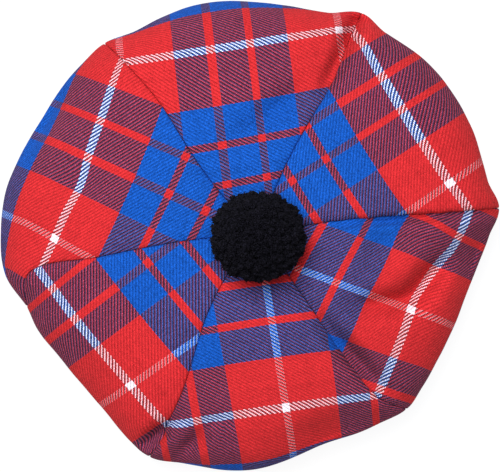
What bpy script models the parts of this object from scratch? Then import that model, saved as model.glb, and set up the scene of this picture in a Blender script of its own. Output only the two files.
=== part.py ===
"""A tam o' shanter: six cloth gores that roll over the rim to a headband, with a pompom (toorie) on top.

Metres, +Z up. The hat stands on the lower edge of its headband, centred on the origin. Left, right, front
and back in the comments are as seen from above, with +X to the right and +Y at the back.
"""

import math
import random
from collections import namedtuple

import bmesh
import bpy
from mathutils import Vector

MM = 0.001

# Driving sizes
BAND_RADIUS = 92.5 * MM  # outer face of the headband, for a head of about 56 cm
BAND_HEIGHT = 34 * MM
BAND_WALL = 3 * MM
BAND_ROUND = 0.8 * MM
CLOTH = 1.8 * MM
GAP = 0.3 * MM
CROWN_CENTRE = Vector((5.4 * MM, 1.1 * MM, 0))  # the six seams meet a little off the middle of the outline
TOORIE_WIDTH = 51 * MM
TOORIE_HEIGHT = 46 * MM
TOORIE_BASE = 71.6 * MM  # height of the toorie's flat underside
FLAT_SHARE = 0.82  # the underside is this share of the half height below the toorie's centre
LOCK = 4.5 * MM
LOCK_VARIES = (0.85, 1.05)
LOCK_TIP = 0.78  # a lock's tip over its foot
LOCK_CLEAR = 3 * MM  # lowest lock's height above the toorie's underside
TIE_RADIUS = 2.4 * MM
KNOT_RADIUS = 6 * MM
KNOT_HEIGHT = 4 * MM
KNOT_DROP = 1 * MM  # from the crown's underside to the knot

# Mesh fineness
ACROSS = 10  # cells from seam to seam
ROWS_PER_SECTION = 2
BAND_STEPS = 64
TIE_STEPS = 16

# One row for each gore, anticlockwise from the seam at the right. The first four columns are the direction,
# in degrees about the crown's centre, of the seam where the gore starts: beside the toorie, halfway out, at
# the shoulder and at the rim. The next five are the outline's distance from the crown's centre, at
# OUTLINE_SHARES of the way from that seam to the next. droop is how far the rim hangs down. Both are in mm.
Gore = namedtuple("Gore", "name near middle shoulder rim at_seam at_12 at_36 at_64 at_88 droop")
OUTLINE_SHARES = (0.0, 0.12, 0.36, 0.64, 0.88)
GORES = (
    Gore("gore_1", 10.1, 7.0, 6.2, 6.2, 137.4, 133.8, 135.4, 137.0, 135.4, 1.0),
    Gore("gore_2", 70.8, 65.1, 65.3, 65.2, 138.9, 132.2, 132.5, 135.9, 136.1, 4.0),
    Gore("gore_3", 134.2, 127.6, 128.2, 129.1, 140.7, 140.2, 141.0, 147.0, 146.6, 0.0),
    Gore("gore_4", 184.6, 188.1, 188.9, 197.2, 139.4, 138.2, 133.4, 133.4, 139.2, 2.5),
    Gore("gore_5", 231.3, 242.6, 244.2, 243.7, 141.4, 137.6, 134.6, 125.5, 127.6, -1.0),
    Gore("gore_6", 304.6, 305.1, 306.1, 310.0, 130.2, 127.6, 123.2, 123.8, 131.0, 2.0),
)
SEAM_SHARES = (0.2, 0.6, 0.88, 1.0)  # shares of the way from the crown's centre to the rim

# The gore's section, from the hole for the toorie's tie out to the rim and back under to the headband.
# inward is the distance in from the rim and height is above the headband's lower edge, both in millimetres,
# for a gore that reaches NOMINAL_REACH.
NOMINAL_REACH = 133 * MM
END_RADIUS = BAND_RADIUS - 2 * MM
Station = namedtuple("Station", "name inward height")
SECTION = (
    Station("tie hole", 129.7, 69.4),
    Station("crown inner", 112.0, 70.6),
    Station("crown middle", 84.0, 71.0),
    Station("crown outer", 56.0, 68.6),
    Station("shoulder", 31.0, 63.0),
    Station("upper rim", 13.0, 54.0),
    Station("rim top", 4.0, 43.5),
    Station("rim", 0.0, 32.0),
    Station("rim foot", 4.0, 20.5),
    Station("underside outer", 13.0, 13.0),
    Station("underside middle", 25.0, 12.0),
    Station("tuck", 35.0, 18.0),
    Station("beside the band", 38.6, 29.5),
    Station("over the band", 39.9, 35.0),
    Station("on the band", 42.5, 35.2),
)
RIM_STATION = 7
DROOP_WIDTH = 60 * MM  # the droop starts this far in from the rim
TOP_FADE = 12 * MM  # folds and valleys on top fade out over this length above the rim
RIM_NOTCH = 0.5  # how much of a seam's valley shows as a notch in the outline

# The seams lie in shallow valleys, and the cloth dips in a few soft folds. x, y, length and width are in
# millimetres, turn is the fold's direction in degrees, and depth is how far the cloth sinks there.
SEAM_VALLEY_DEPTH = 1.6 * MM
SEAM_VALLEY_WIDTH = 7 * MM
Fold = namedtuple("Fold", "name x y turn length width depth")
FOLDS = (
    Fold("pucker at the back right corner", 59.0, 118.0, 65, 11, 7, 5.0),
    Fold("pucker at the back left corner", -79.0, 103.0, 129, 10, 6, 3.0),
    Fold("hollow beside the back right seam", 39.0, 99.0, 55, 24, 9, 3.2),
    Fold("valley of the right seam", 108.0, 12.0, 4, 34, 6, 2.6),
    Fold("fold across the front right gore", 93.0, -27.0, 40, 26, 8, 4.0),
    Fold("hollow at the right end of that fold", 122.0, -9.0, 70, 16, 8, 3.0),
    Fold("valley of the front right seam", 58.0, -74.0, -54, 24, 8, 2.6),
    Fold("hollow in the front gore", 41.0, -104.0, 18, 24, 10, 3.6),
    Fold("hollow beside the front left seam", -46.0, -97.0, 244, 22, 9, 3.6),
    Fold("hollow in the left gore", -117.0, -3.0, 20, 18, 10, 2.2),
    Fold("hollow in the front left gore", -92.0, -72.0, 130, 30, 10, 2.4),
)


def smooth_through(knots, x):
    """The height at x of a smooth curve through (x, y) knots in rising order, level past either end."""
    if x <= knots[0][0]:
        return knots[0][1]
    if x >= knots[-1][0]:
        return knots[-1][1]
    index = max(i for i in range(len(knots) - 1) if knots[i][0] <= x)

    def slope(i):
        low, high = max(i - 1, 0), min(i + 1, len(knots) - 1)
        return (knots[high][1] - knots[low][1]) / (knots[high][0] - knots[low][0])

    (x0, y0), (x1, y1) = knots[index], knots[index + 1]
    span = x1 - x0
    t = (x - x0) / span
    rise = (y1 - y0) * (3 * t**2 - 2 * t**3)
    start = slope(index) * span * (t**3 - 2 * t**2 + t)
    end = slope(index + 1) * span * (t**3 - t**2)
    return y0 + rise + start + end


def seam_direction(index, share):
    """Direction in degrees of the seam where gore number index starts, at a share of the way to the rim."""
    turns, row = divmod(index, len(GORES))
    gore = GORES[row]
    knots = tuple(zip(SEAM_SHARES, (gore.near, gore.middle, gore.shoulder, gore.rim)))
    return smooth_through(knots, share) + 360 * turns


def around(values_of_gore, shares):
    """Knots right round the crown, with a gore's worth repeated at either end so that the curve closes."""
    knots = []
    for index in range(-1, len(GORES) + 1):
        start, end = seam_direction(index, 1), seam_direction(index + 1, 1)
        values = values_of_gore(GORES[index % len(GORES)])
        knots += [(start + (end - start) * share, value * MM) for share, value in zip(shares, values)]
    return tuple(knots)


OUTLINE = around(lambda gore: (gore.at_seam, gore.at_12, gore.at_36, gore.at_64, gore.at_88), OUTLINE_SHARES)
DROOP = around(lambda gore: (gore.droop,), (0.5,))


def section_knots():
    """Knots of the section's inward distance and height along its length, and the length at each station."""
    lengths = [0.0]
    for before, after in zip(SECTION, SECTION[1:]):
        step = math.hypot(after.inward - before.inward, after.height - before.height)
        lengths.append(lengths[-1] + step * MM)
    inward = tuple((length, station.inward * MM) for length, station in zip(lengths, SECTION))
    height = tuple((length, station.height * MM) for length, station in zip(lengths, SECTION))
    return inward, height, tuple(lengths)


INWARD, HEIGHT, STATION_LENGTHS = section_knots()
RIM_LENGTH = STATION_LENGTHS[RIM_STATION]


def fold_depth(point):
    """How far the folds sink the cloth at a point of the plan."""
    depth = 0.0
    for fold in FOLDS:
        away = point - Vector((fold.x * MM, fold.y * MM, 0))
        turn = math.radians(fold.turn)
        along = away.x * math.cos(turn) + away.y * math.sin(turn)
        beside = away.y * math.cos(turn) - away.x * math.sin(turn)
        spread = (along / (fold.length * MM)) ** 2 + (beside / (fold.width * MM)) ** 2
        depth += fold.depth * MM * math.exp(-spread)
    return depth


def gore_edges(index, length):
    """The directions of a gore's two seams, in degrees, at a length along its section."""
    share = 1 - smooth_through(INWARD, length) / NOMINAL_REACH if length < RIM_LENGTH else 1
    return seam_direction(index, share), seam_direction(index + 1, share)


def crown_point(index, across, length):
    """A point of a gore's outer face: across runs from 0 at its first seam to 1 at the next."""
    start, end = gore_edges(index, length)
    degrees = start + (end - start) * across
    outward = Vector((math.cos(math.radians(degrees)), math.sin(math.radians(degrees)), 0))
    rim = CROWN_CENTRE + outward * smooth_through(OUTLINE, degrees)
    inward = smooth_through(INWARD, length)
    if length < RIM_LENGTH:
        point = CROWN_CENTRE + (rim - CROWN_CENTRE) * (1 - inward / NOMINAL_REACH)
    else:
        band = outward * END_RADIUS
        point = band + (rim - band) * (1 - inward / (NOMINAL_REACH - END_RADIUS))

    on_top = min(1, max(0, (RIM_LENGTH - length) / TOP_FADE))
    droop = smooth_through(DROOP, degrees) * max(0, 1 - inward / DROOP_WIDTH) ** 2
    if length > RIM_LENGTH:
        droop *= max(0, 1 - inward / (NOMINAL_REACH - END_RADIUS))
    from_seam = (point - CROWN_CENTRE).length * math.radians(end - start) * min(abs(across), abs(1 - across))
    valley = SEAM_VALLEY_DEPTH * max(0, 1 - from_seam / SEAM_VALLEY_WIDTH) ** 2
    height = smooth_through(HEIGHT, length) - droop - (fold_depth(point) + valley) * on_top
    point -= outward * valley * (1 - on_top) * max(0, 1 - inward / DROOP_WIDTH) * RIM_NOTCH
    return Vector((point.x, point.y, height))


def crown_normal(index, across, length):
    """The outward normal there, from the points round about."""
    aside, along = 0.02, 0.6 * MM
    run = crown_point(index, across, length + along) - crown_point(index, across, length - along)
    width = crown_point(index, across + aside, length) - crown_point(index, across - aside, length)
    return run.cross(width).normalized()


def row_length(share):
    """The length along the section at a share of its rows, with as many rows between any two stations."""
    place = share * (len(SECTION) - 1)
    station = min(int(place), len(SECTION) - 2)
    before, after = STATION_LENGTHS[station], STATION_LENGTHS[station + 1]
    return before + (after - before) * (place - station)


def make_material(name, colour, roughness):
    material = bpy.data.materials.new(name)
    material.use_nodes = True
    shader = material.node_tree.nodes["Principled BSDF"]
    shader.inputs["Base Color"].default_value = (*colour, 1)
    shader.inputs["Roughness"].default_value = roughness
    shader.inputs["Metallic"].default_value = 0
    return material


def add_object(name, mesh, material, collection):
    mesh.materials.append(material)
    mesh.shade_smooth()
    mesh.set_sharp_from_angle(angle=math.radians(50))
    part = bpy.data.objects.new(name, mesh)
    collection.objects.link(part)
    return part


def mesh_from(name, bm):
    if bm.calc_volume(signed=True) < 0:
        bmesh.ops.reverse_faces(bm, faces=bm.faces)
    mesh = bpy.data.meshes.new(name)
    bm.to_mesh(mesh)
    bm.free()
    return mesh


def gore_mesh(index):
    """A flat slab of cells bent to the crown: its grid is the outer face, and the inner is CLOTH below."""
    bm = bmesh.new()
    rows = ROWS_PER_SECTION * (len(SECTION) - 1)
    bmesh.ops.create_grid(bm, x_segments=ACROSS, y_segments=rows, size=0.5)
    outer = set(bm.verts)
    bmesh.ops.solidify(bm, geom=bm.faces[:], thickness=1)
    for vertex in bm.verts:
        length = row_length(vertex.co.y + 0.5)
        start, end = gore_edges(index, length)
        # Cells narrow towards the seams, and half of the gap is left beside each seam.
        across = 0.5 - 0.5 * math.cos(math.pi * (vertex.co.x + 0.5))
        width = (crown_point(index, 0.5, length) - CROWN_CENTRE).xy.length * math.radians(end - start)
        margin = 0.5 * GAP / width
        across = margin + (1 - 2 * margin) * across
        inset = 0 if vertex in outer else CLOTH
        vertex.co = crown_point(index, across, length) - crown_normal(index, across, length) * inset
    return mesh_from(GORES[index].name, bm)


def turned_mesh(name, profile, steps):
    """A profile of (radius, height) points turned about Z, closed on itself or on the axis at both ends."""
    bm = bmesh.new()
    points = [bm.verts.new((radius, 0, height)) for radius, height in profile]
    for before, after in zip(points, points[1:]):
        bm.edges.new((before, after))
    if profile[0][0] > 0:
        bm.edges.new((points[-1], points[0]))
    bmesh.ops.spin(
        bm, geom=bm.verts[:] + bm.edges[:], axis=(0, 0, 1), angle=math.tau, steps=steps, use_merge=True
    )
    bmesh.ops.remove_doubles(bm, verts=bm.verts, dist=0.001 * MM)
    bmesh.ops.recalc_face_normals(bm, faces=bm.faces)
    return mesh_from(name, bm)


def headband_mesh():
    """A ring with softly rounded edges that stands on its flat lower edge."""
    inner = BAND_RADIUS - BAND_WALL
    return turned_mesh(
        "headband",
        (
            (inner + BAND_ROUND, 0),
            (BAND_RADIUS - BAND_ROUND, 0),
            (BAND_RADIUS, BAND_ROUND),
            (BAND_RADIUS, BAND_HEIGHT - BAND_ROUND),
            (BAND_RADIUS - BAND_ROUND, BAND_HEIGHT),
            (inner + BAND_ROUND, BAND_HEIGHT),
            (inner, BAND_HEIGHT - BAND_ROUND),
            (inner, BAND_ROUND),
        ),
        BAND_STEPS,
    )


def toorie_mesh():
    """A ball with a flat underside, whose faces grow out into short, thick locks of yarn."""
    draw = random.Random(7)
    bm = bmesh.new()
    bmesh.ops.create_icosphere(bm, subdivisions=3, radius=1)
    half_width = TOORIE_WIDTH / 2 - LOCK
    half_height = (TOORIE_HEIGHT - LOCK) / (1 + FLAT_SHARE)
    centre = CROWN_CENTRE + Vector((0, 0, TOORIE_BASE + half_height * FLAT_SHARE))
    for vertex in bm.verts:
        x, y, z = vertex.co
        vertex.co = centre + Vector((x * half_width, y * half_width, max(z, -FLAT_SHARE) * half_height))
    bm.normal_update()
    growing = [face for face in bm.faces if face.calc_center_median().z > TOORIE_BASE + MM]
    for face in bmesh.ops.extrude_discrete_faces(bm, faces=growing)["faces"]:
        middle = face.calc_center_median()
        tip = middle + (middle - centre).normalized() * LOCK * draw.uniform(*LOCK_VARIES)
        tip.z = max(tip.z, TOORIE_BASE + LOCK_CLEAR)
        for vertex in face.verts:
            vertex.co = tip + (vertex.co - middle) * LOCK_TIP
    return mesh_from("toorie", bm)


def tie_mesh():
    """The yarn that holds the toorie: a flat knot below the crown, and a stem up through its centre."""
    knot_top = SECTION[0].height * MM - CLOTH - KNOT_DROP
    knot_middle = knot_top - KNOT_HEIGHT / 2
    knot = [(0, knot_top - KNOT_HEIGHT)]
    for step in range(1, 6):
        turn = math.pi * step / 6
        knot.append((KNOT_RADIUS * math.sin(turn), knot_middle - KNOT_HEIGHT / 2 * math.cos(turn)))
    stem = ((TIE_RADIUS, knot_top), (TIE_RADIUS, TOORIE_BASE - GAP), (0, TOORIE_BASE - GAP))
    return turned_mesh("toorie_tie", (*knot, *stem), TIE_STEPS)


def main():
    for old in list(bpy.data.objects):
        bpy.data.objects.remove(old, do_unlink=True)
    hat = bpy.data.collections.new("tam_o_shanter")
    bpy.context.scene.collection.children.link(hat)

    tartan_cloth = make_material("wool tartan", (0.50, 0.04, 0.06), 0.85)
    band_cloth = make_material("wool tartan band", (0.20, 0.04, 0.14), 0.85)
    yarn = make_material("black wool yarn", (0.006, 0.006, 0.009), 0.95)

    for index, gore in enumerate(GORES):
        add_object(gore.name, gore_mesh(index), tartan_cloth, hat)
    add_object("headband", headband_mesh(), band_cloth, hat)
    add_object("toorie", toorie_mesh(), yarn, hat)
    tie = add_object("toorie_tie", tie_mesh(), yarn, hat)
    tie.location = CROWN_CENTRE


main()
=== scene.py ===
# A tartan tam o' shanter: six rolled gores, a headband and a black pompom, on a pale floor.
# Sizes in the tables are millimetres and degrees. Left, right, front and back are as seen from above.
import math
import random

import bmesh
import bpy
import numpy as np
from mathutils import Matrix, Vector, kdtree, noise


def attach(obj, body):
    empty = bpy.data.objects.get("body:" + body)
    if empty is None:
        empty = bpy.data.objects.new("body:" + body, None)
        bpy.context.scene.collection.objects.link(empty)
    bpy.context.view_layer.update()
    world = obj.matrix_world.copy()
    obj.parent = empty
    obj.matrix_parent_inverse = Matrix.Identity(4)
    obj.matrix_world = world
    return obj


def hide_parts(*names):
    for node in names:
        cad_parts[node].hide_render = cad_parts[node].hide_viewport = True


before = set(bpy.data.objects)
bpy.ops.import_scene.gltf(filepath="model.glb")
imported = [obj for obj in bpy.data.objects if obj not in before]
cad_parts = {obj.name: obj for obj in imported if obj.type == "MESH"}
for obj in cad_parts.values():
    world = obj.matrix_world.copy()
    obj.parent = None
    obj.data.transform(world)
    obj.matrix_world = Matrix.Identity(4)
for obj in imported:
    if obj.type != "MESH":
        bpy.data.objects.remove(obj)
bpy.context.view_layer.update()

mm = 0.001
print("frame loaded:", len(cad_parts), "nodes")


# small helpers for materials and meshes

def linear(code):  # "#rrggbb" in sRGB to the linear colour that Blender's sockets take
    parts = [int(code[i:i + 2], 16) / 255 for i in (1, 3, 5)]
    return tuple(c / 12.92 if c <= 0.04045 else ((c + 0.055) / 1.055) ** 2.4 for c in parts) + (1.0,)


def addNode(tree, kind, settings, inputs):
    node = tree.nodes.new("ShaderNode" + kind)
    for name, value in settings.items():
        setattr(node, name, value)
    for key, value in inputs.items():
        if isinstance(value, bpy.types.NodeSocket):
            tree.links.new(value, node.inputs[key])
        else:
            node.inputs[key].default_value = value
    return node


def newMaterial(name):
    material = bpy.data.materials.new(name)
    material.use_nodes = True
    tree = material.node_tree
    return material, tree, tree.nodes["Principled BSDF"]


def newPiece(name, mesh, material):
    piece = bpy.data.objects.new(name, mesh)
    bpy.context.scene.collection.objects.link(piece)
    mesh.materials.append(material)
    mesh.shade_smooth()
    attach(piece, "root")
    return piece


# tartan: wool twill, woven from dyed yarn. Its fuzzy yarns look matt, with a soft sheen at the edges, and the
# twill shows as fine diagonal ribs. The yarns across a gore lie on top for longer than those along it.

tartan = {
    "thread": 0.7227,        # spacing of the yarns along a gore, mm, so that the check repeats every 127 mm
    "pick": 0.5413,          # and of those across it, which are beaten closer together
    # threads, from the middle of one white stripe to the next
    "sett": (("white", 3), ("red", 39), ("blue", 27), ("red", 6), ("blue", 26), ("red", 6), ("blue", 27),
             ("red", 39), ("white", 3)),
    # colour, how bright it looks along and across the gore, and how far it lends its hue to a yarn it crosses
    # red and blue are darker along the gore than across it: painted shade, as the yarns along lie lower in
    # the weave
    "yarns": {"white": ("#fdf0fc", 1.34, 1.30, 0.05), "red": ("#eb353a", 0.84, 1.0, 0.94),
              "blue": ("#1c64d5", 0.70, 1.0, 0.80)},
    "acrossTakes": 0.80,     # share of that hue which a yarn across the gore takes on
    "whiteTakes": 0.86,      # and a white one, along or across
    "dyed": 0.7,             # a yarn that lends at least this much takes on all of it
    "uneven": (0.88, 1.08),  # how light each yarn is dyed
    "twill": 4,              # threads in a repeat of the twill
    "acrossShare": 0.58,     # share of that repeat in which a yarn across the gore lies on top
    "alongRise": (0.0, 1.0), # lowest and highest place of a yarn along the gore
    "acrossRise": (0.2, 1.0),
    "stray": 0.26,           # how far the ribs stray, in threads
    "apart": (0.3, 0.7),     # two colours this far apart count as alike and as unlike
    # where two yarns are alike and where they are unlike: brightness between them, painted shade in the
    # hollows, and on top of them, painted light on the crests, and how much lighter the ribs are painted on
    # one lit flank
    "hollow": (0.70, 0.0),
    "crest": (1.11, 1.58),
    "ribs": (0.25, 0.85),
    "litFlankPlace": 0.54,        # where that painted lit flank lies in the repeat
    "fibreScale": 1500,      # fibres of about 0.7 mm
    "fuzz": (0.60, 1.40),    # how dark and light the fibres are
    "patchScale": 38.0,      # patches of about 26 mm
    "patch": (0.94, 1.06),   # and how dark and light they are
    "speckle": (0.6, 0.15),  # how unevenly a dark and a bright red float catch the light
    "fluff": 0.5,            # how far the fibres rise, in yarns
    "weaveHeight": 0.20,     # mm
}


def dyedYarns(tree, whole, shade):  # the colours along and across, and how far they lend their hue
    total = sum(count for _, count in tartan["sett"])
    yarns = []
    for i, spacing in enumerate((tartan["thread"], tartan["pick"])):
        middle = addNode(tree, "Math", {"operation": "ADD"}, {0: whole[i], 1: 0.5}).outputs[0]
        repeat = round(total * tartan["thread"] / spacing)
        turns = addNode(tree, "Math", {"operation": "DIVIDE"}, {0: middle, 1: repeat}).outputs[0]
        place = addNode(tree, "Math", {"operation": "FRACT"}, {0: turns}).outputs[0]
        ramp = addNode(tree, "ValToRGB", {}, {0: place})
        ramp.color_ramp.interpolation = "CONSTANT"
        stops, start = ramp.color_ramp.elements, 0
        for number, (colour, count) in enumerate(tartan["sett"]):
            stop = stops[number] if number < 2 else stops.new(start / total)
            stop.position = start / total
            # a level along the gore below the one across is painted shade
            dye, *levels, lends = tartan["yarns"][colour]
            stop.color = (*[c * shade * levels[i] for c in linear(dye)[:3]], lends)
            start += count
        uneven = addNode(tree, "TexWhiteNoise", {"noise_dimensions": "1D"}, {"W": whole[i]}).outputs["Value"]
        low, high = tartan["uneven"]
        level = addNode(tree, "MapRange", {}, {"Value": uneven, "To Min": low, "To Max": high}).outputs[0]
        colour = addNode(tree, "VectorMath", {"operation": "SCALE"},
                         {0: ramp.outputs[0], "Scale": level}).outputs[0]
        yarns.append((colour, ramp.outputs["Alpha"]))
    return yarns


def yarnHeight(tree, part, stepped, onTop):  # high in the middle of a thread and of its float
    share = tartan["acrossShare"]
    heights = []
    for thread, first, last, (low, high) in ((part[0], share, 1.0, tartan["alongRise"]),
                                             (part[1], 0.0, share, tartan["acrossRise"])):
        length = addNode(tree, "MapRange", {},
                         {"Value": stepped, "From Min": first, "From Max": last}).outputs[0]
        rounds = []
        for place in (thread, length):
            off = addNode(tree, "Math", {"operation": "MULTIPLY_ADD"}, {0: place, 1: 2.0, 2: -1.0}).outputs[0]
            square = addNode(tree, "Math", {"operation": "MULTIPLY"}, {0: off, 1: off}).outputs[0]
            rounds.append(addNode(tree, "Math", {"operation": "SUBTRACT"}, {0: 1.0, 1: square}).outputs[0])
        both = addNode(tree, "Math", {"operation": "MULTIPLY"}, {0: rounds[0], 1: rounds[1]}).outputs[0]
        height = addNode(tree, "MapRange", {}, {"Value": both, "To Min": low, "To Max": high}).outputs[0]
        heights.append(height)
    return addNode(tree, "Mix", {"data_type": "FLOAT"},
                   {"Factor": onTop, 2: heights[0], 3: heights[1]}).outputs[0]


def blendedYarns(tree, yarns, onTop):  # fuzzy yarns blend with those that they cross: their mean is darker than a plain mix, partly as dyes mix and partly as painted shade where unlike yarns meet
    (along, alongLends), (across, acrossLends) = yarns
    share = tartan["acrossShare"]
    # the mean of the two hues, darker than a plain mix: partly the dyes' mixing, partly painted shade
    parts = [addNode(tree, "Gamma", {}, {0: colour, 1: power}).outputs[0]
             for colour, power in ((along, 1 - share), (across, share))]
    mean = addNode(tree, "VectorMath", {"operation": "MULTIPLY"}, {0: parts[0], 1: parts[1]}).outputs[0]
    less = addNode(tree, "Math", {"operation": "MULTIPLY"},
                   {0: alongLends, 1: tartan["acrossTakes"]}).outputs[0]
    seen = []
    for own, ownLends, lent in ((along, alongLends, acrossLends), (across, acrossLends, less)):
        takes = addNode(tree, "MapRange", {}, {"Value": ownLends, "From Min": 0.0, "From Max": tartan["dyed"],
                                               "To Min": tartan["whiteTakes"], "To Max": 1.0}).outputs[0]
        lent = addNode(tree, "Math", {"operation": "MULTIPLY"}, {0: lent, 1: takes}).outputs[0]
        seen.append(addNode(tree, "Mix", {"data_type": "RGBA"}, {"Factor": lent, 6: own, 7: mean}).outputs[2])
    return addNode(tree, "Mix", {"data_type": "RGBA"}, {"Factor": onTop, 6: seen[0], 7: seen[1]}).outputs[2]


def paintedWeaveShading(tree, yarns, height, stepped):  # brightness: painted shade in the yarns' hollows, painted light on their crests and on one lit flank of each rib
    apart = addNode(tree, "VectorMath", {"operation": "DISTANCE"}, {0: yarns[0][0], 1: yarns[1][0]})
    near, far = tartan["apart"]
    hollow, crest, litFlankStrength = [
        addNode(tree, "MapRange", {}, {"Value": apart.outputs["Value"], "From Min": near, "From Max": far,
                                       "To Min": alike, "To Max": unlike}).outputs[0]
        for alike, unlike in (tartan["hollow"], tartan["crest"], tartan["ribs"])]
    level = addNode(tree, "MapRange", {}, {"Value": height, "To Min": hollow, "To Max": crest}).outputs[0]
    turned = addNode(tree, "Math", {"operation": "MULTIPLY_ADD"},
                     {0: stepped, 1: math.tau, 2: -math.tau * tartan["litFlankPlace"]}).outputs[0]
    flank = addNode(tree, "Math", {"operation": "COSINE"}, {0: turned}).outputs[0]
    ribs = addNode(tree, "Math", {"operation": "MULTIPLY_ADD"}, {0: flank, 1: litFlankStrength, 2: 1.0}).outputs[0]
    return addNode(tree, "Math", {"operation": "MULTIPLY"}, {0: level, 1: ribs}).outputs[0]


def tartanTwill(name, shade):
    material, tree, shader = newMaterial(name)
    where = addNode(tree, "UVMap", {"uv_map": "clothMetres"}, {}).outputs["UV"]
    split = addNode(tree, "SeparateXYZ", {}, {0: where}).outputs
    threads = [addNode(tree, "Math", {"operation": "DIVIDE"}, {0: split[i], 1: spacing * mm}).outputs[0]
               for i, spacing in enumerate((tartan["thread"], tartan["pick"]))]
    whole = [addNode(tree, "Math", {"operation": "FLOOR"}, {0: t}).outputs[0] for t in threads]
    part = [addNode(tree, "Math", {"operation": "FRACT"}, {0: t}).outputs[0] for t in threads]
    yarns = dyedYarns(tree, whole, shade)
    fibres = addNode(tree, "TexNoise", {"noise_dimensions": "2D"},
                     {"Vector": where, "Scale": tartan["fibreScale"], "Detail": 3.0,
                      "Roughness": 0.6}).outputs[0]

    # where the yarn across the gore lies on top: a step of one thread to each row makes the twill's diagonal
    astray = addNode(tree, "MapRange", {"clamp": False}, {"Value": fibres, "To Min": -tartan["stray"],
                                                          "To Max": tartan["stray"]}).outputs[0]
    strayed = addNode(tree, "Math", {"operation": "ADD"}, {0: threads[0], 1: astray}).outputs[0]
    steps = addNode(tree, "Math", {"operation": "ADD"}, {0: strayed, 1: whole[1]}).outputs[0]
    repeats = addNode(tree, "Math", {"operation": "DIVIDE"}, {0: steps, 1: tartan["twill"]}).outputs[0]
    stepped = addNode(tree, "Math", {"operation": "FRACT"}, {0: repeats}).outputs[0]
    onTop = addNode(tree, "Math", {"operation": "LESS_THAN"},
                    {0: stepped, 1: tartan["acrossShare"]}).outputs[0]
    height = yarnHeight(tree, part, stepped, onTop)
    woven = blendedYarns(tree, yarns, onTop)

    # fibres, patches and single floats are a little lighter or darker
    patches = addNode(tree, "TexNoise", {"noise_dimensions": "2D"},
                      {"Vector": where, "Scale": tartan["patchScale"], "Detail": 2.0}).outputs[0]
    shades = [addNode(tree, "MapRange", {}, {"Value": value, "To Min": low, "To Max": high}).outputs[0]
              for value, (low, high) in ((fibres, tartan["fuzz"]), (patches, tartan["patch"]))]
    cell = addNode(tree, "CombineXYZ", {}, {0: whole[0], 1: whole[1]}).outputs[0]
    speck = addNode(tree, "TexWhiteNoise", {"noise_dimensions": "2D"}, {"Vector": cell}).outputs["Value"]
    redness = addNode(tree, "SeparateXYZ", {}, {0: woven}).outputs[0]
    dark, bright = tartan["speckle"]
    reach = addNode(tree, "MapRange", {}, {"Value": redness, "To Min": dark, "To Max": bright}).outputs[0]
    away = addNode(tree, "Math", {"operation": "SUBTRACT"}, {0: speck, 1: 0.5}).outputs[0]
    speckled = addNode(tree, "Math", {"operation": "MULTIPLY_ADD"}, {0: away, 1: reach, 2: 1.0}).outputs[0]
    # the weave's painted shade and light, then the fibres, patches and floats
    level = paintedWeaveShading(tree, yarns, height, stepped)
    for factor in (*shades, speckled):
        level = addNode(tree, "Math", {"operation": "MULTIPLY"}, {0: level, 1: factor}).outputs[0]
    colour = addNode(tree, "VectorMath", {"operation": "SCALE"}, {0: woven, "Scale": level}).outputs[0]
    fluffy = addNode(tree, "Math", {"operation": "MULTIPLY_ADD"},
                     {0: fibres, 1: tartan["fluff"], 2: height}).outputs[0]
    bump = addNode(tree, "Bump", {},
                   {"Strength": 0.7, "Distance": tartan["weaveHeight"] * mm, "Height": fluffy})

    tree.links.new(colour, shader.inputs["Base Color"])
    tree.links.new(bump.outputs["Normal"], shader.inputs["Normal"])
    shader.inputs["Roughness"].default_value = 0.9
    shader.inputs["Specular IOR Level"].default_value = 0.03
    shader.inputs["Sheen Weight"].default_value = 0.015
    shader.inputs["Sheen Roughness"].default_value = 0.6
    return material


# black wool yarn: cut ends, brushed out. It is nearly black, and only stray fibres catch the light, which the
# lighter strands paint in as highlights.

yarn = {
    "colour": "#050508",
    "lighter": "#201f2a",
    "lighterFrom": (0.42, 0.72),     # share of the strands' noise over which they turn lighter, in painted highlights
    "thick": 1.3,
    "relief": 0.3,
}


def blackYarn(name):
    material, tree, shader = newMaterial(name)
    where = addNode(tree, "TexCoord", {}, {}).outputs["Object"]
    strands = addNode(tree, "TexNoise", {}, {"Vector": where, "Scale": 1 / (yarn["thick"] * mm),
                                             "Detail": 4.0, "Roughness": 0.65}).outputs[0]
    first, last = yarn["lighterFrom"]
    share = addNode(tree, "MapRange", {}, {"Value": strands, "From Min": first, "From Max": last}).outputs[0]
    # near-black yarn with strands of painted highlight
    colour = addNode(tree, "Mix", {"data_type": "RGBA"},
                     {"Factor": share, 6: linear(yarn["colour"]), 7: linear(yarn["lighter"])}).outputs[2]
    bump = addNode(tree, "Bump", {}, {"Strength": 0.6, "Distance": yarn["relief"] * mm, "Height": strands})
    tree.links.new(colour, shader.inputs["Base Color"])
    tree.links.new(bump.outputs["Normal"], shader.inputs["Normal"])
    shader.inputs["Roughness"].default_value = 0.95
    shader.inputs["Specular IOR Level"].default_value = 0.04
    shader.inputs["Sheen Weight"].default_value = 0.01
    return material


goreShade, bandShade = 0.75, 0.73      # how light the same cloth looks on the gores and folded double
goreCloth = tartanTwill("wool tartan twill, woven", goreShade)
bandCloth = tartanTwill("wool tartan twill, folded double", bandShade)
toorieYarn = blackYarn("black wool yarn, cut and brushed")
tieYarn = blackYarn("black wool yarn, wound")
print("materials made")


# the crown's form: the section, seams and rim of the solids, with deeper folds and a smaller notch at the rim

crown = {
    "centre": (5.4, 1.1),
    "reach": 133.0,            # the section's own distance from the centre out to the rim
    "endRadius": 90.5,         # the gores end at this radius, on top of the headband
    "seamShares": (0.2, 0.6, 0.88, 1.0),
    "outlineShares": (0.0, 0.12, 0.36, 0.64, 0.88),
    "droopWidth": 60.0,        # the rim droops over this much of its width
    "topFade": 12.0,           # the folds fade out over this length before the rim
    "valleyDepth": 1.6,        # beside each seam
    "valleyWidth": 7.0,
    "rimNotch": 0.15,          # share of that valley which cuts into the rim
}
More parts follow.
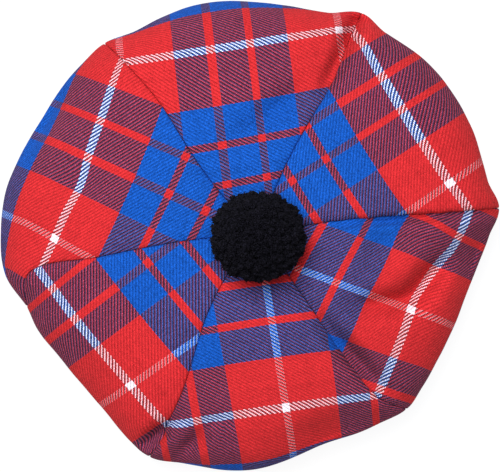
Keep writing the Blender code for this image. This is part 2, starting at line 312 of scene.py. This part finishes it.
# seam: the starting seam's direction beside the toorie, halfway out, at the shoulder and at the rim.
# outline: how far out the rim is at outlineShares of the way to the next seam. droop: how far it hangs down.
gores = {
    "gore_1": {"seam": (10.1, 7.0, 6.2, 6.2),
               "outline": (137.4, 133.8, 135.4, 137.0, 135.4), "droop": 1.0},
    "gore_2": {"seam": (70.8, 65.1, 65.3, 65.2),
               "outline": (138.9, 132.2, 132.5, 135.9, 136.1), "droop": 4.0},
    "gore_3": {"seam": (134.2, 127.6, 128.2, 129.1),
               "outline": (140.7, 140.2, 141.0, 147.0, 146.6), "droop": 0.0},
    "gore_4": {"seam": (184.6, 188.1, 188.9, 197.2),
               "outline": (139.4, 138.2, 133.4, 133.4, 139.2), "droop": 2.5},
    "gore_5": {"seam": (231.3, 242.6, 244.2, 243.7),
               "outline": (141.4, 137.6, 134.6, 125.5, 127.6), "droop": -1.0},
    "gore_6": {"seam": (304.6, 305.1, 306.1, 310.0),
               "outline": (130.2, 127.6, 123.2, 123.8, 131.0), "droop": 2.0},
}
goreNames = list(gores)
# the section from the tie's hole out over the rim and back to the headband: inward from the rim, and height
section = (
    (129.7, 69.4), (112.0, 70.6), (84.0, 71.0), (56.0, 68.6), (31.0, 63.0), (13.0, 54.0), (4.0, 43.5),
    (0.0, 32.0), (4.0, 20.5), (13.0, 13.0), (25.0, 12.0), (35.0, 18.0), (38.6, 29.5), (39.9, 35.0),
    (42.5, 35.2),
)
rimStation = 7      # the place in the section that lies farthest out
# soft folds: middle x and y, direction, half length, half width, depth
folds = (
    (58.5, 118.0, 65, 13, 6.5, 13.0),   # pucker at the back right corner
    (-79.0, 103.0, 129, 10, 6, 3.4),    # pucker at the back left corner
    (41.0, 97.0, 58, 26, 11, 4.2),      # hollow beside the back right seam
    (50.0, 99.0, 64, 24, 5.0, 11.0),    # and its deep middle
    (13.0, 68.0, 36, 30, 8, 6.5),       # dip across the back gore
    (-93.0, 80.0, 60, 15, 9, 2.6),      # hollow at the back left rim
    (-119.0, 69.0, 62, 22, 11, 9.0),    # and below it
    (97.0, 9.9, 4.3, 58, 2.6, 6.0),     # valley of the right seam
    (76.0, -37.0, 10, 19, 6.5, 12.0),   # fold across the front right gore
    (99.5, -24.0, 44, 19, 7.5, 16.0),   # which turns towards its right end
    (74.0, -7.5, 60, 18, 10, 4.5),      # hollow above it
    (124.0, -12.0, 70, 15, 9, 8.0),     # and at the rim
    (57.0, -66.0, -48, 28, 5.5, 12.0),  # valley of the front right seam
    (44.0, -109.0, 18, 26, 9, 7.5),     # hollow in the front gore
    (-53.5, -113.0, 40, 12, 5, 13.0),   # pucker at the front left corner
    (-46.0, -97.0, 244, 22, 9, 2.6),    # hollow beside the front left seam
    (-32.5, -116.0, 46, 11, 5, 8.0),    # creases that run from it into the front gore
    (-16.5, -103.0, 5, 12, 3.5, 2.6),
    (-36.0, -60.0, 31, 14, 6, 2.4),
    (-117.0, -3.0, 20, 18, 10, 3.2),    # hollow in the left gore
    (-92.0, -72.0, 130, 30, 10, 2.4),   # hollow in the front left gore
)


def smoothThrough(xs, ys, at):  # a smooth curve through knots, level past either end
    xs, ys, at = np.asarray(xs, float), np.asarray(ys, float), np.asarray(at, float)
    slopes = np.empty_like(ys)
    slopes[1:-1] = (ys[2:] - ys[:-2]) / (xs[2:] - xs[:-2])
    slopes[0], slopes[-1] = (ys[1] - ys[0]) / (xs[1] - xs[0]), (ys[-1] - ys[-2]) / (xs[-1] - xs[-2])
    i = np.clip(np.searchsorted(xs, at, side="right") - 1, 0, len(xs) - 2)
    span = xs[i + 1] - xs[i]
    t = np.clip((at - xs[i]) / span, 0, 1)
    rise = (ys[i + 1] - ys[i]) * (3 * t**2 - 2 * t**3)
    return ys[i] + rise + slopes[i] * span * (t**3 - 2 * t**2 + t) + slopes[i + 1] * span * (t**3 - t**2)


def seamTurn(index, share):  # direction of the seam where a gore starts
    return smoothThrough(crown["seamShares"], gores[goreNames[index % 6]]["seam"], share) + 360 * (index // 6)


def aroundRim(key, shares):
    turns, values = [], []
    for index in range(-1, 7):
        start, end = float(seamTurn(index, 1)), float(seamTurn(index + 1, 1))
        turns += [start + (end - start) * share for share in shares]
        values += list(np.atleast_1d(gores[goreNames[index % 6]][key]))
    return turns, values


outline = aroundRim("outline", crown["outlineShares"])
droops = aroundRim("droop", (0.5,))
inwards, heights = np.array(section).T
stationAt = np.concatenate([[0], np.cumsum(np.hypot(np.diff(inwards), np.diff(heights)))])
rimAt = stationAt[rimStation]


def alongSeams(index, length):
    share = np.where(length < rimAt, 1 - smoothThrough(stationAt, inwards, length) / crown["reach"], 1.0)
    return seamTurn(index, share), seamTurn(index + 1, share)


def crownPoints(index, across, length):  # points of a gore's outer face, in mm
    centre = np.array(crown["centre"])
    start, end = alongSeams(index, length)
    turn = start + (end - start) * across
    outward = np.stack([np.cos(np.radians(turn)), np.sin(np.radians(turn))], -1)
    rim = centre + outward * smoothThrough(*outline, turn)[..., None]
    inward = smoothThrough(stationAt, inwards, length)
    below = crown["reach"] - crown["endRadius"]
    top = centre + (rim - centre) * (1 - inward / crown["reach"])[..., None]
    band = outward * crown["endRadius"]
    under = band + (rim - band) * (1 - inward / below)[..., None]
    isTop = length < rimAt
    plan = np.where(isTop[..., None], top, under)

    onTop = np.clip((rimAt - length) / crown["topFade"], 0, 1)
    droop = smoothThrough(*droops, turn) * np.clip(1 - inward / crown["droopWidth"], 0, 1) ** 2
    droop = np.where(length > rimAt, droop * np.clip(1 - inward / below, 0, 1), droop)
    edge = np.minimum(np.abs(across), np.abs(1 - across))
    fromSeam = np.linalg.norm(plan - centre, axis=-1) * np.radians(end - start) * edge
    valley = crown["valleyDepth"] * np.clip(1 - fromSeam / crown["valleyWidth"], 0, 1) ** 2
    sunk = valley.copy()
    for x, y, direction, halfLength, halfWidth, depth in folds:
        away = plan - np.array((x, y))
        c, s = math.cos(math.radians(direction)), math.sin(math.radians(direction))
        along, beside = away[..., 0] * c + away[..., 1] * s, away[..., 1] * c - away[..., 0] * s
        sunk += depth * np.exp(-(along / halfLength) ** 2 - (beside / halfWidth) ** 2)
    notch = valley * (1 - onTop) * np.clip(1 - inward / crown["droopWidth"], 0, 1) * crown["rimNotch"]
    plan = plan - outward * notch[..., None]
    height = smoothThrough(stationAt, heights, length) - droop - sunk * onTop
    return np.concatenate([plan, height[..., None]], -1)


def crownNormals(index, across, length):
    aside, along = 0.02, 0.6
    run = crownPoints(index, across, length + along) - crownPoints(index, across, length - along)
    wide = crownPoints(index, across + aside, length) - crownPoints(index, across - aside, length)
    cross = np.cross(run, wide)
    return cross / np.linalg.norm(cross, axis=-1)[..., None]


# gores: cut from the cloth with the check square to the gore, and sewn with their edges turned in

goreMake = {
    "cloth": 1.0,               # thickness
    "turnIn": 8.0,              # seam allowance
    "turnInShare": 0.42,        # but no more than this share of the gore's width
    "turnInLeast": 0.1,
    "fold": 1.06,               # radius of the turned edge
    "foldSteps": 6,
    "turnInSteps": 12,
    "across": 90,
    "crowding": 0.3,            # how far the columns crowd towards the seams
    "rowsPerSection": 11,
    "slub": 0.60,               # how far the cloth lies unevenly
    "slubLength": 34.0,
    "fineSlub": 0.45,
    "fineSlubLength": 13.0,
    "ripple": 0.28,             # puckers along the seams
    "rippleLength": 13.0,
    "rippleStray": 1.3,
    "rippleStrayLength": 17.0,
    "rippleReach": 7.0,
    "calm": (12.0, 30.0),       # it lies flat near the tie and near the headband
}
# How the check lies on each gore, which the cloth's curve and its sewing bend a little.
# turn: which way the middle of the gore faces. white: how far out its white stripe across lies.
# thin: from there in to the first thin red line. squeeze and outer: how the check narrows further in, and how
# fast it runs on beyond the white stripe. lean and bow: how the lines across slant and bend.
# aside: how far right of the middle the white stripe along lies. repeat: the check's repeat from side to
# side. skew and fan: how the lines along slant and spread further in.
layScale = {
    "bowAt": 45.0,          # bow is how far a line has bent at this distance to the side
    "over": 100.0,          # squeeze and fan are what comes over this length
    "fanEnd": -20.0,        # skew and fan go on this far beyond the white stripe
}
lay = {
    "gore_1": {"turn": 32.6, "white": 102.9, "thin": 50, "squeeze": -0.03, "outer": 0.66, "lean": 0.005,
               "bow": 1.9, "aside": 33.3, "repeat": 119.7, "skew": 0.018, "fan": 0.02},
    "gore_2": {"turn": 98.9, "white": 105.8, "thin": 53.9, "squeeze": 0.11, "outer": 1.11, "lean": -0.043,
               "bow": 0.8, "aside": 62.1, "repeat": 124.5, "skew": -0.029, "fan": 0.005},
    "gore_3": {"turn": 159.2, "white": 104.4, "thin": 49.4, "squeeze": -0.05, "outer": 0.95, "lean": 0.164,
               "bow": 1.6, "aside": -43.3, "repeat": 119.3, "skew": -0.123, "fan": 0.123},
    "gore_4": {"turn": 219.5, "white": 109.2, "thin": 51.2, "squeeze": -0.04, "outer": 0.82, "lean": -0.005,
               "bow": -0.8, "aside": -19.4, "repeat": 117.3, "skew": -0.075, "fan": 0.075},
    "gore_5": {"turn": 277.8, "white": 97, "thin": 48.8, "squeeze": -0.05, "outer": 0.87, "lean": 0,
               "bow": 1, "aside": -1.4, "repeat": 121.2, "skew": 0.026, "fan": 0.04},
    "gore_6": {"turn": 334.2, "white": 95.2, "thin": 45.4, "squeeze": -0.16, "outer": 0.76, "lean": 0.072,
               "bow": 2.3, "aside": 1.2, "repeat": 116.6, "skew": 0.1, "fan": 0.022},
}
# where a fold has pulled the check: x and y, how far it is felt, how far outward and how far to the right
pulls = {
    "gore_3": ((-97.0, 29.0, 13, -2.4, 0.0),),
    "gore_6": ((115.0, -4.0, 14, 4.0, 0.0), (84.0, 5.5, 15, -3.4, -1.0), (96.0, 7.0, 15, 0.0, -3.0),
               (90.0, -38.5, 14, -1.4, 0.0)),
}
settLength = sum(count for _, count in tartan["sett"]) * tartan["thread"]
# from the middle of the white stripe to that of the first thin red one
thinAt = (sum(count for _, count in tartan["sett"][:3]) + tartan["sett"][3][1] / 2) * tartan["thread"]


def clothMetres(name, flat):  # where each point of the gore's outer face lay on the flat cloth
    how = lay[name]
    turn = math.radians(how["turn"])
    plan = flat[..., :2] - np.array(crown["centre"])
    out = plan @ np.array((math.cos(turn), math.sin(turn)))
    right = plan @ np.array((math.sin(turn), -math.cos(turn)))
    beyond = np.maximum.accumulate(out, axis=0)[:-1] > how["white"]
    step = np.diff(out, axis=0)
    steps = np.where(beyond, np.hypot(step, np.diff(flat[..., 2], axis=0)), step)
    along = np.concatenate([out[:1], out[:1] + np.cumsum(steps, axis=0)])
    bowed = along - how["bow"] * (right / layScale["bowAt"]) ** 2
    along = bowed + how["lean"] * right * np.clip(1 - along / how["white"], 0, 1)
    inner = how["white"] - along
    squeezed = thinAt / how["thin"] * (1 + how["squeeze"] * (inner - how["thin"]) / layScale["over"])
    v = -inner * np.where(inner > 0, squeezed, how["outer"])
    back = np.maximum(how["white"] - out, layScale["fanEnd"])
    fanned = 1 + how["fan"] * back / layScale["over"]
    u = (right - how["aside"] - how["skew"] * back) * settLength / how["repeat"] / fanned
    for x, y, reach, outward, sideways in pulls.get(name, ()):
        felt = np.exp(-((flat[..., 0] - x) ** 2 + (flat[..., 1] - y) ** 2) / reach**2)
        u, v = u - sideways * felt, v - outward * felt
    return np.stack([u, v], -1) * mm


def goreMesh(index):
    name = goreNames[index]
    fold, steps = goreMake["fold"], goreMake["foldSteps"]
    # columns run from the raw edge of one allowance round the turned edge, over the gore and so to the other
    turned = [math.pi * k / steps for k in range(steps, 0, -1)]
    allowance = [k / goreMake["turnInSteps"] for k in range(goreMake["turnInSteps"], 0, -1)]
    half = len(allowance) + len(turned)
    columns = goreMake["across"] + 2 * half
    rows = goreMake["rowsPerSection"] * (len(section) - 1)

    bm = bmesh.new()
    bmesh.ops.create_grid(bm, x_segments=columns, y_segments=rows, size=0.5)
    grid = np.array([vertex.co[:2] for vertex in bm.verts]) + 0.5
    column = np.rint(grid[:, 0] * columns).astype(int)
    row = np.rint(grid[:, 1] * rows).astype(int)

    place = np.linspace(0, len(section) - 1, rows + 1)
    length = np.interp(place, np.arange(len(section)), stationAt)
    start, end = alongSeams(index, length)
    middle = crownPoints(index, np.full_like(length, 0.5), length)[:, :2] - np.array(crown["centre"])
    width = np.linalg.norm(middle, axis=1) * np.radians(end - start)
    turnIn = np.clip(goreMake["turnInShare"] * width - fold, goreMake["turnInLeast"], goreMake["turnIn"])

    # sideways place, distance along the cloth and depth below the outer face, from the starting seam
    at, flatAt, depth = (np.zeros((rows + 1, columns + 1)) for _ in range(3))
    for k in range(half):
        if k < len(allowance):
            at[:, k] = fold + allowance[k] * turnIn
            flatAt[:, k] = fold - math.pi * fold - allowance[k] * turnIn
            depth[:, k] = 2 * fold
        else:
            a = turned[k - len(allowance)]
            at[:, k] = fold - fold * math.sin(a)
            flatAt[:, k] = fold - fold * a
            depth[:, k] = fold - fold * math.cos(a)
        at[:, columns - k], depth[:, columns - k] = width - at[:, k], depth[:, k]
        flatAt[:, columns - k] = width - flatAt[:, k]
    crowding = goreMake["crowding"]
    for k in range(goreMake["across"] + 1):
        share = k / goreMake["across"]
        share = (1 - crowding) * share + crowding * (0.5 - 0.5 * math.cos(math.pi * share))
        at[:, half + k] = flatAt[:, half + k] = fold + (width - 2 * fold) * share

    lengths = np.repeat(length[:, None], columns + 1, axis=1)
    outer = crownPoints(index, at / width[:, None], lengths)
    normals = crownNormals(index, at / width[:, None], lengths)

    # the cloth lies a little unevenly, and puckers along its seams
    uneven = np.array([noise.noise(Vector(p) / goreMake["slubLength"])
                       + goreMake["fineSlub"] * noise.noise(Vector(p) / goreMake["fineSlubLength"])
                       for p in outer.reshape(-1, 3)])
    fromSeam = np.minimum(at, width[:, None] - at)
    stray = goreMake["rippleStray"] * np.sin(lengths / goreMake["rippleStrayLength"] + index)
    wave = np.sin(lengths / goreMake["rippleLength"] * math.tau + stray)
    wave = wave * np.exp(-fromSeam / goreMake["rippleReach"]) * (fromSeam > 0)
    lift = goreMake["slub"] * uneven.reshape(at.shape) + goreMake["ripple"] * wave
    calmTop, calmEnd = goreMake["calm"]
    lift = lift * np.clip(lengths / calmTop, 0, 1) * np.clip((stationAt[-1] - lengths) / calmEnd, 0, 1)
    places = (outer + normals * (lift - depth)[..., None]) * mm

    cloth = clothMetres(name, crownPoints(index, flatAt / width[:, None], lengths))
    for number, vertex in enumerate(bm.verts):
        vertex.co = places[row[number], column[number]]
    threads = bm.loops.layers.uv.new("clothMetres")
    bm.verts.index_update()
    for face in bm.faces:
        for loop in face.loops:
            k = loop.vert.index
            loop[threads].uv = cloth[row[k], column[k]]
    mesh = bpy.data.meshes.new(name + "_cloth")
    bm.to_mesh(mesh)
    bm.free()
    cut = width + 2 * turnIn      # the gore's width when cut, with its allowances
    area = float(np.sum((cut[1:] + cut[:-1]) / 2 * np.diff(length)))
    return mesh, (float(cut.max()) * mm, float(length[-1]) * mm), area * mm**2


def outwardsUp(mesh):  # turns the faces round if the highest one looks down
    highest = max(mesh.polygons, key=lambda face: face.center.z)
    if highest.normal.z < 0:
        mesh.flip_normals()


def makeGores():
    for index, name in enumerate(goreNames):
        mesh, flatSize, flatArea = goreMesh(index)
        outwardsUp(mesh)
        piece = newPiece(name + "_cloth", mesh, goreCloth)
        thicken = piece.modifiers.new("cloth", "SOLIDIFY")
        thicken.thickness = goreMake["cloth"] * mm
        thicken.offset = -1
        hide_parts(name)


makeGores()
print("gores made")


# headband: the same cloth, folded double round the head

headband = {
    "radius": 92.5,
    "height": 34.0,
    "wall": 3.0,
    "round": 1.2,           # radius of the folded edges
    "roundSteps": 5,
    "steps": 256,
    "rows": 12,
    "sway": 0.35,           # how far it sways inwards, above its lowest 6 mm
    "swayFrom": 6.0,
    # share, waves round the band, phase, and how the wave turns up the band, per metre
    "swayWaves": ((1.0, 5, 0.7, 0.0), (0.6, 9, 0.0, 70.0)),
    "merge": 0.01,
}


def makeHeadband():
    h = headband
    bm = bmesh.new()
    inner, r = h["radius"] - h["wall"], h["round"]
    profile = []
    for cx, cz, first in ((h["radius"] - r, r, -90), (h["radius"] - r, h["height"] - r, 0),
                          (inner + r, h["height"] - r, 90), (inner + r, r, 180)):
        for k in range(h["roundSteps"] + 1):
            turn = math.radians(first + 90 * k / h["roundSteps"])
            profile.append((cx + r * math.cos(turn), cz + r * math.sin(turn)))
    points = [bm.verts.new((x * mm, 0, z * mm)) for x, z in profile]
    edges = [bm.edges.new((points[i - 1], points[i])) for i in range(len(points))]
    for edge in edges:
        if edge.calc_length() > h["height"] / 2 * mm:      # the wall's two long sides
            bmesh.ops.subdivide_edges(bm, edges=[edge], cuts=h["rows"])
    bmesh.ops.spin(bm, geom=bm.verts[:] + bm.edges[:], axis=(0, 0, 1), angle=math.tau, steps=h["steps"],
                   use_merge=True)
    bmesh.ops.remove_doubles(bm, verts=bm.verts, dist=h["merge"] * mm)
    bmesh.ops.recalc_face_normals(bm, faces=bm.faces)
    threads = bm.loops.layers.uv.new("clothMetres")
    for face in bm.faces:
        middle = face.calc_center_median()
        about = math.atan2(middle.y, middle.x)
        inside = middle.xy.length < (h["radius"] - h["wall"] / 2) * mm
        for loop in face.loops:
            x, y, z = loop.vert.co
            turn = about + math.remainder(math.atan2(y, x) - about, math.tau)
            up = -z if inside else z
            loop[threads].uv = (turn * h["radius"] * mm, up)
    for vertex in bm.verts:     # the band sways a little inwards in places
        x, y, z = vertex.co
        turn = math.atan2(y, x)
        waves = sum(share * math.sin(count * turn + phase + twist * z)
                    for share, count, phase, twist in h["swayWaves"])
        sway = h["sway"] * mm * waves * min(1, z / (h["swayFrom"] * mm))
        vertex.co.xy = vertex.co.xy * (1 - max(0, sway) / vertex.co.xy.length)
    mesh = bpy.data.meshes.new("headband_cloth")
    bm.to_mesh(mesh)
    bm.free()
    piece = newPiece("headband_cloth", mesh, bandCloth)
    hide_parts("headband")


makeHeadband()
print("headband made")


# toorie: a pompom of cut yarn, its ends brushed out into short tufts

toorie = {
    "centre": (4.3, -0.2),
    "width": 52.8,
    "depth": 50.6,
    "height": 46.0,
    "middle": 90.3,         # height of its widest part
    "base": 71.6,
    "underside": 0.4,       # its tufts start this far above the base
    "leastGap": 0.1,
    "core": 0.80,           # radius of the ball that fills it, as a share of its own
    "clumps": 300,
    "clumpStray": 0.05,
    "clumpRise": 0.022,     # how unevenly the clumps stand out, as a share of the ball's radius
    "clumpReach": 0.115,    # radians
    "clumpFall": 0.10,      # how much lower a clump's edge lies, as a share of the ball's radius
    "fan": 2.5,             # how far the yarn of a clump fans out
    "tufts": 8000,
    "tuft": 6.0,            # length, times a share in tuftLengths
    "tuftLengths": (0.9, 1.1),
    "tuftSizes": (0.7, 1.25),
    "tuftRise": (-0.025, 0.015),
    "tuftStray": 0.16,
    "tuftFoot": 0.30,       # radii
    "tuftTip": 0.46,
    "hairs": 5000,
    "hair": 2.4,
    "hairLengths": (0.5, 1.2),
    "hairDepth": (0.94, 0.99),
    "hairStray": 0.4,
    "hairFoot": 0.12,       # radius
    "batch": 100,
    "seed": 11,
}


def toorieSurface(direction):  # a point of the ball's outer face, with its flat underside
    tall = toorie["base"] + toorie["height"] - toorie["middle"]
    x, y = toorie["centre"]
    place = Vector((x + direction.x * toorie["width"] / 2, y + direction.y * toorie["depth"] / 2,
                    toorie["middle"] + direction.z * tall))
    place.z = max(place.z, toorie["base"] + toorie["underside"])
    return place


def spread(number, count):  # even directions over a ball, by the golden angle
    z = 1 - 2 * (number + 0.5) / count
    r, turn = math.sqrt(1 - z * z), number * math.pi * (3 - math.sqrt(5))
    return Vector((r * math.cos(turn), r * math.sin(turn), z))


def addSpikes(whole, count, makeOne):  # in batches, because one growing mesh is slow to add to
    for first in range(0, count, toorie["batch"]):
        batch = bmesh.new()
        for number in range(first, min(count, first + toorie["batch"])):
            makeOne(batch, number)
        part = bpy.data.meshes.new("tufts")
        batch.to_mesh(part)
        batch.free()
        whole.from_mesh(part)
        bpy.data.meshes.remove(part)


def standing(foot, way, tall):  # where a spike stands that starts at its foot, in mm
    turned = way.to_track_quat("Z", "Y").to_matrix().to_4x4()
    return Matrix.Translation((foot + way * tall / 2) * mm) @ turned


def makeToorie():
    t = toorie
    draw = random.Random(t["seed"])
    middle = Vector((*t["centre"], t["middle"]))
    clumps = kdtree.KDTree(t["clumps"])
    rises = []
    for number in range(t["clumps"]):
        stray = Vector([draw.gauss(0, t["clumpStray"]) for _ in range(3)])
        clumps.insert((spread(number, t["clumps"]) + stray).normalized(), number)
        rises.append(draw.gauss(0, t["clumpRise"]))
    clumps.balance()

    def surface(normal):  # the ball's face, raised in clumps, and the way its yarn fans out there
        clump, number, away = clumps.find(normal)
        lift = 1 + rises[number] - t["clumpFall"] * min(1, away / t["clumpReach"]) ** 2
        return middle + (toorieSurface(normal) - middle) * lift, (normal - clump) * t["fan"]

    whole = bmesh.new()
    bmesh.ops.create_icosphere(whole, subdivisions=4, radius=1)
    for vertex in whole.verts:
        outer = toorieSurface(vertex.co.normalized())
        vertex.co = (middle + (outer - middle) * t["core"]) * mm

    def tuft(batch, number):
        normal = spread(number, t["tufts"])
        tip, fan = surface(normal)
        tip = middle + (tip - middle) * (1 + draw.uniform(*t["tuftRise"]))
        stray = Vector([draw.gauss(0, t["tuftStray"]) for _ in range(3)])
        way = ((tip - middle).normalized() + fan + stray).normalized()
        tall = t["tuft"] * draw.uniform(*t["tuftLengths"])
        place = standing(tip - way * tall, way, tall)
        size = draw.uniform(*t["tuftSizes"]) * mm
        bmesh.ops.create_cone(batch, cap_ends=True, cap_tris=True, segments=4, radius1=t["tuftFoot"] * size,
                              radius2=t["tuftTip"] * size, depth=tall * mm, matrix=place)

    def hair(batch, number):
        normal = spread(number, t["hairs"])
        foot, fan = surface(normal)
        foot = middle + (foot - middle) * draw.uniform(*t["hairDepth"])
        stray = Vector([draw.gauss(0, t["hairStray"]) for _ in range(3)])
        way = (normal + fan + stray).normalized()
        tall = t["hair"] * draw.uniform(*t["hairLengths"])
        bmesh.ops.create_cone(batch, cap_ends=True, segments=3, radius1=t["hairFoot"] * mm, radius2=0,
                              depth=tall * mm, matrix=standing(foot, way, tall))

    addSpikes(whole, t["tufts"], tuft)
    addSpikes(whole, t["hairs"], hair)
    for vertex in whole.verts:
        vertex.co.z = max(vertex.co.z, (t["base"] + t["leastGap"]) * mm)
    mesh = bpy.data.meshes.new("toorie_yarn")
    whole.to_mesh(mesh)
    whole.free()
    piece = newPiece("toorie_yarn", mesh, toorieYarn)
    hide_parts("toorie")


makeToorie()
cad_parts["toorie_tie"].material_slots[0].material = tieYarn
print("toorie made")


# floor, light and camera

studio = {
    "floor": "#5c5c5c",
    "floorGlow": 0.92,
    "floorWidth": 4.0,
    "floorGap": 0.3,                            # so far below the hat, mm
    "sky": 0.30,                                # light from all round
    # above and a little to the back left, and from the front right
    "key": {"turn": 120, "tilt": 72, "away": 1.7, "width": 0.9, "watts": 37.0},
    "fill": {"turn": -40, "tilt": 55, "away": 1.9, "width": 1.4, "watts": 3.0},
    "cameraHeight": 1.3,
    "frameWidth": 500,                          # pixels
    "pixel": 0.57,                              # mm, at the height of the rim
    "rimHeight": 32.0,
    "sensor": 36.0,
}


def makeFloor():
    bm = bmesh.new()
    bmesh.ops.create_grid(bm, x_segments=1, y_segments=1, size=studio["floorWidth"] / 2)
    mesh = bpy.data.meshes.new("floor")
    bm.to_mesh(mesh)
    bm.free()
    material, _, shader = newMaterial("opal acrylic, lit from below")    # a light table
    shader.inputs["Base Color"].default_value = linear(studio["floor"])
    shader.inputs["Emission Color"].default_value = (1, 1, 1, 1)
    shader.inputs["Emission Strength"].default_value = studio["floorGlow"]
    shader.inputs["Roughness"].default_value = 1.0
    shader.inputs["Specular IOR Level"].default_value = 0.0
    mesh.materials.append(material)
    floor = bpy.data.objects.new("floor", mesh)
    floor.location.z = -studio["floorGap"] * mm
    bpy.context.scene.collection.objects.link(floor)


def makeLight(name):
    how = studio[name]
    data = bpy.data.lights.new(name, "AREA")
    data.shape = "DISK"
    data.size = how["width"]
    data.energy = how["watts"]
    light = bpy.data.objects.new(name, data)
    turn, tilt = math.radians(how["turn"]), math.radians(how["tilt"])
    way = Vector((math.cos(turn) * math.cos(tilt), math.sin(turn) * math.cos(tilt), math.sin(tilt)))
    light.location = way * how["away"]
    light.rotation_euler = way.to_track_quat("Z", "Y").to_euler()
    bpy.context.scene.collection.objects.link(light)


def makeCamera():
    data = bpy.data.cameras.new("camera")
    data.sensor_width = studio["sensor"]
    wide = studio["frameWidth"] * studio["pixel"] * mm
    data.lens = studio["sensor"] * (studio["cameraHeight"] - studio["rimHeight"] * mm) / wide
    data.clip_end = 20
    camera = bpy.data.objects.new("camera", data)
    camera.location = (0, 0, studio["cameraHeight"])
    bpy.context.scene.collection.objects.link(camera)
    bpy.context.scene.camera = camera


makeFloor()
makeLight("key")
makeLight("fill")
makeCamera()
world = bpy.data.worlds.new("studio")
world.use_nodes = True
world.node_tree.nodes["Background"].inputs["Color"].default_value = (1, 1, 1, 1)
world.node_tree.nodes["Background"].inputs["Strength"].default_value = studio["sky"]
bpy.context.scene.world = world
bpy.context.scene.view_settings.view_transform = "Standard"
